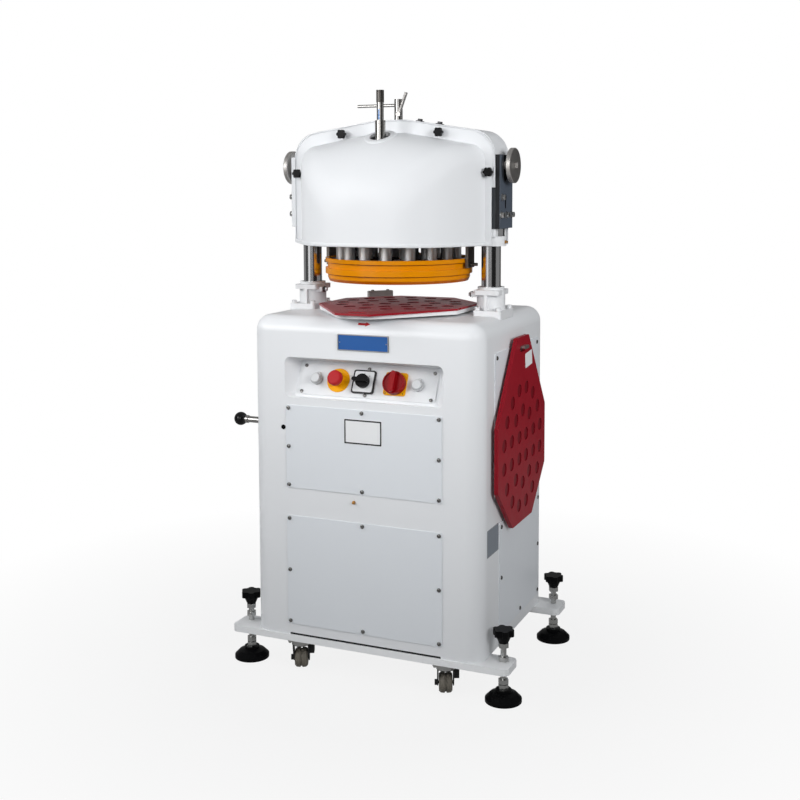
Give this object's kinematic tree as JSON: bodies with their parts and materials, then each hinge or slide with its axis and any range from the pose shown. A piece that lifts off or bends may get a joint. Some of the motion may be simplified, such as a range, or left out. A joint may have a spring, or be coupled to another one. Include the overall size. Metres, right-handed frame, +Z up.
{
  "type": "dough divider",
  "caption": "Floor-standing dough divider and rounder: white cabinet on levelling feet, orbiting table with red moulding plate, and a hooded head on columns with dough ring, stamps and knife.",
  "frame": {"origin": "on the floor, in the middle of the footprint", "axes": "+Z up, -Y towards the operator, +X to the operator's right"},
  "size_m": [0.775, 0.563, 1.4516],
  "materials": {
    "white_paint": "gloss",
    "white_cast": "gloss",
    "white_plastic": "gloss",
    "switch_plates": "gloss",
    "red_resin": "satin",
    "red_plastic": "gloss",
    "black_plastic": "satin",
    "grey_rubber": "matte",
    "orange_ring": "gloss",
    "hard_chrome": "polished",
    "bright_steel": "brushed",
    "dark_steel": "blued",
    "stamp_aluminium": "satin",
    "inner_iron": "painted",
    "belt_rubber": "matte"
  },
  "bodies": {
    "cabinet": {"cabinet_shell": "white_paint", "base_bars": "white_paint", "upper_front_cover": "white_paint", "lower_front_cover": "white_paint", "right_upper_cover": "white_paint", "right_lower_cover": "white_paint", "rear_cover": "white_paint", "control_panel": "white_paint", "control_bezels": "switch_plates", "guide_housings": "white_cast", "guide_bushes": "bright_steel", "plate_hanger": "bright_steel", "plate_stop": "dark_steel", "drive_frame": "inner_iron", "motor": "inner_iron", "drive_belt": "belt_rubber", "lift_cylinder": "inner_iron"},
    "head": {"columns": "hard_chrome", "lift_yoke": "inner_iron", "head_beam": "white_cast", "front_hood": "white_paint", "rear_hood": "white_paint", "right_side_plate": "dark_steel", "left_side_plate": "white_paint", "ring_brackets": "dark_steel", "hood_knobs": "black_plastic"},
    "ring": {"dough_ring": "orange_ring"},
    "presser": {"stamps": "stamp_aluminium", "presser_plate": "stamp_aluminium", "scale_rod": "hard_chrome"},
    "knife": {"knife_cage": "bright_steel"},
    "table": {"table_plate": "white_paint", "table_hub": "inner_iron"},
    "weight_spindle": {"weight_spindle": "hard_chrome"},
    "clamp_lever": {"clamp_lever": "hard_chrome"},
    "cross_shaft": {"cross_shaft": "bright_steel"},
    "eccentric_shaft": {"eccentric_shaft": "bright_steel"},
    "motor_pulley": {"motor_pulley": "bright_steel"},
    "guide_crank": {"guide_crank": "bright_steel"},
    "moulding_plate": {"moulding_plate": "red_resin"},
    "spare_plate_inner": {"spare_plate_inner": "red_resin"},
    "spare_plate_outer": {"spare_plate_outer": "red_resin"},
    "adjust_lever": {"adjust_lever": "bright_steel"},
    "left_button": {"left_button": "white_plastic"},
    "right_button": {"right_button": "white_plastic"},
    "emergency_stop": {"emergency_stop": "red_plastic"},
    "selector_knob": {"selector_knob": "black_plastic"},
    "main_switch_knob": {"main_switch_knob": "red_plastic"},
    "foot_front_left": {"foot_front_left": "black_plastic"},
    "foot_front_right": {"foot_front_right": "black_plastic"},
    "foot_rear_left": {"foot_rear_left": "black_plastic"},
    "foot_rear_right": {"foot_rear_right": "black_plastic"},
    "castor_fork_front_left": {"castor_fork_front_left": "dark_steel"},
    "castor_fork_front_right": {"castor_fork_front_right": "dark_steel"},
    "castor_fork_rear_left": {"castor_fork_rear_left": "dark_steel"},
    "castor_fork_rear_right": {"castor_fork_rear_right": "dark_steel"},
    "castor_wheel_front_left": {"castor_wheel_front_left": "grey_rubber"},
    "castor_wheel_front_right": {"castor_wheel_front_right": "grey_rubber"},
    "castor_wheel_rear_left": {"castor_wheel_rear_left": "grey_rubber"},
    "castor_wheel_rear_right": {"castor_wheel_rear_right": "grey_rubber"}
  },
  "joints": [
    {"name": "head_lift", "type": "slide", "parent": "cabinet", "child": "head", "axis": [0, 0, 1], "range_m": [-0.0607, 0]},
    {"name": "ring_float", "type": "slide", "parent": "head", "child": "ring", "axis": [0, 0, 1], "range_m": [0, 0.005]},
    {"name": "presser_slide", "type": "slide", "parent": "head", "child": "presser", "axis": [0, 0, 1], "range_m": [-0.018, 0.008]},
    {"name": "knife_slide", "type": "slide", "parent": "head", "child": "knife", "axis": [0, 0, 1], "range_m": [-0.022, 0]},
    {"name": "weight_spindle_turn", "type": "hinge", "parent": "head", "child": "weight_spindle", "pos_m": [0, -0.0055, 1.42], "axis": [0, 0, 1], "range_deg": [-180, 60]},
    {"name": "clamp_lever_turn", "type": "hinge", "parent": "weight_spindle", "child": "clamp_lever", "pos_m": [0.008, -0.0215, 1.397], "axis": [0, 1, 0], "range_deg": [-40, 60]},
    {"name": "cross_shaft_turn", "type": "hinge", "parent": "head", "child": "cross_shaft", "pos_m": [0, -0.0055, 1.266], "axis": [1, 0, 0], "continuous": true},
    {"name": "eccentric_turn", "type": "hinge", "parent": "cabinet", "child": "eccentric_shaft", "pos_m": [0, 0.0065, 0.79], "axis": [0, 0, 1], "continuous": true},
    {"name": "motor_turn", "type": "hinge", "parent": "cabinet", "child": "motor_pulley", "pos_m": [-0.15, 0.13, 0.602], "axis": [0, 0, 1], "continuous": true},
    {"name": "table_counter_turn", "type": "hinge", "parent": "eccentric_shaft", "child": "table", "pos_m": [0, -0.0055, 0.905], "axis": [0, 0, 1], "continuous": true},
    {"name": "guide_crank_turn", "type": "hinge", "parent": "cabinet", "child": "guide_crank", "pos_m": [0, 0.1265, 0.79], "axis": [0, 0, 1], "continuous": true},
    {"name": "plate_draw", "type": "slide", "parent": "table", "child": "moulding_plate", "axis": [0, -1, 0], "range_m": [0, 0.2]},
    {"name": "inner_plate_lift_off", "type": "slide", "parent": "cabinet", "child": "spare_plate_inner", "axis": [1, 0, 0], "range_m": [0, 0.04]},
    {"name": "outer_plate_lift_off", "type": "slide", "parent": "spare_plate_inner", "child": "spare_plate_outer", "axis": [1, 0, 0], "range_m": [0, 0.04]},
    {"name": "adjust_lever_turn", "type": "hinge", "parent": "cabinet", "child": "adjust_lever", "pos_m": [-0.2, -0.184, 0.625], "axis": [0, 1, 0], "range_deg": [-10, 10]},
    {"name": "left_button_press", "type": "slide", "parent": "cabinet", "child": "left_button", "axis": [0, 0.9018, -0.4321], "range_m": [0, 0.004], "stiffness_N_per_m": 400},
    {"name": "right_button_press", "type": "slide", "parent": "cabinet", "child": "right_button", "axis": [0, 0.9018, -0.4321], "range_m": [0, 0.004], "stiffness_N_per_m": 400},
    {"name": "emergency_stop_press", "type": "slide", "parent": "cabinet", "child": "emergency_stop", "axis": [0, 0.9018, -0.4321], "range_m": [0, 0.005], "stiffness_N_per_m": 900},
    {"name": "selector_turn", "type": "hinge", "parent": "cabinet", "child": "selector_knob", "pos_m": [-0.008, -0.2003, 0.74386], "axis": [0, -0.9018, 0.4321], "range_deg": [-45, 45]},
    {"name": "main_switch_turn", "type": "hinge", "parent": "cabinet", "child": "main_switch_knob", "pos_m": [0.076, -0.2003, 0.74386], "axis": [0, -0.9018, 0.4321], "range_deg": [-90, 0]},
    {"name": "foot_screw_front_left", "type": "slide", "parent": "cabinet", "child": "foot_front_left", "axis": [0, 0, 1], "range_m": [-0.01, 0.02]},
    {"name": "castor_swivel_front_left", "type": "hinge", "parent": "cabinet", "child": "castor_fork_front_left", "pos_m": [-0.185, -0.2085, 0.082], "axis": [0, 0, 1], "continuous": true},
    {"name": "castor_roll_front_left", "type": "hinge", "parent": "castor_fork_front_left", "child": "castor_wheel_front_left", "pos_m": [-0.19054, -0.19564, 0.027], "axis": [0.9184, 0.3955, 0], "continuous": true},
    {"name": "foot_screw_front_right", "type": "slide", "parent": "cabinet", "child": "foot_front_right", "axis": [0, 0, 1], "range_m": [-0.01, 0.02]},
    {"name": "castor_swivel_front_right", "type": "hinge", "parent": "cabinet", "child": "castor_fork_front_right", "pos_m": [0.207, -0.2085, 0.082], "axis": [0, 0, 1], "continuous": true},
    {"name": "castor_roll_front_right", "type": "hinge", "parent": "castor_fork_front_right", "child": "castor_wheel_front_right", "pos_m": [0.20146, -0.19564, 0.027], "axis": [0.9184, 0.3955, 0], "continuous": true},
    {"name": "foot_screw_rear_left", "type": "slide", "parent": "cabinet", "child": "foot_rear_left", "axis": [0, 0, 1], "range_m": [-0.01, 0.02]},
    {"name": "castor_swivel_rear_left", "type": "hinge", "parent": "cabinet", "child": "castor_fork_rear_left", "pos_m": [-0.185, 0.2145, 0.082], "axis": [0, 0, 1], "continuous": true},
    {"name": "castor_roll_rear_left", "type": "hinge", "parent": "castor_fork_rear_left", "child": "castor_wheel_rear_left", "pos_m": [-0.19054, 0.22736, 0.027], "axis": [0.9184, 0.3955, 0], "continuous": true},
    {"name": "foot_screw_rear_right", "type": "slide", "parent": "cabinet", "child": "foot_rear_right", "axis": [0, 0, 1], "range_m": [-0.01, 0.02]},
    {"name": "castor_swivel_rear_right", "type": "hinge", "parent": "cabinet", "child": "castor_fork_rear_right", "pos_m": [0.207, 0.2145, 0.082], "axis": [0, 0, 1], "continuous": true},
    {"name": "castor_roll_rear_right", "type": "hinge", "parent": "castor_fork_rear_right", "child": "castor_wheel_rear_right", "pos_m": [0.20146, 0.22736, 0.027], "axis": [0.9184, 0.3955, 0], "continuous": true}
  ],
  "couplings": [
    {"joint": "motor_turn", "follows": "eccentric_turn", "ratio": 2.7143},
    {"joint": "table_counter_turn", "follows": "eccentric_turn", "ratio": -1},
    {"joint": "guide_crank_turn", "follows": "eccentric_turn", "ratio": 1}
  ]
}
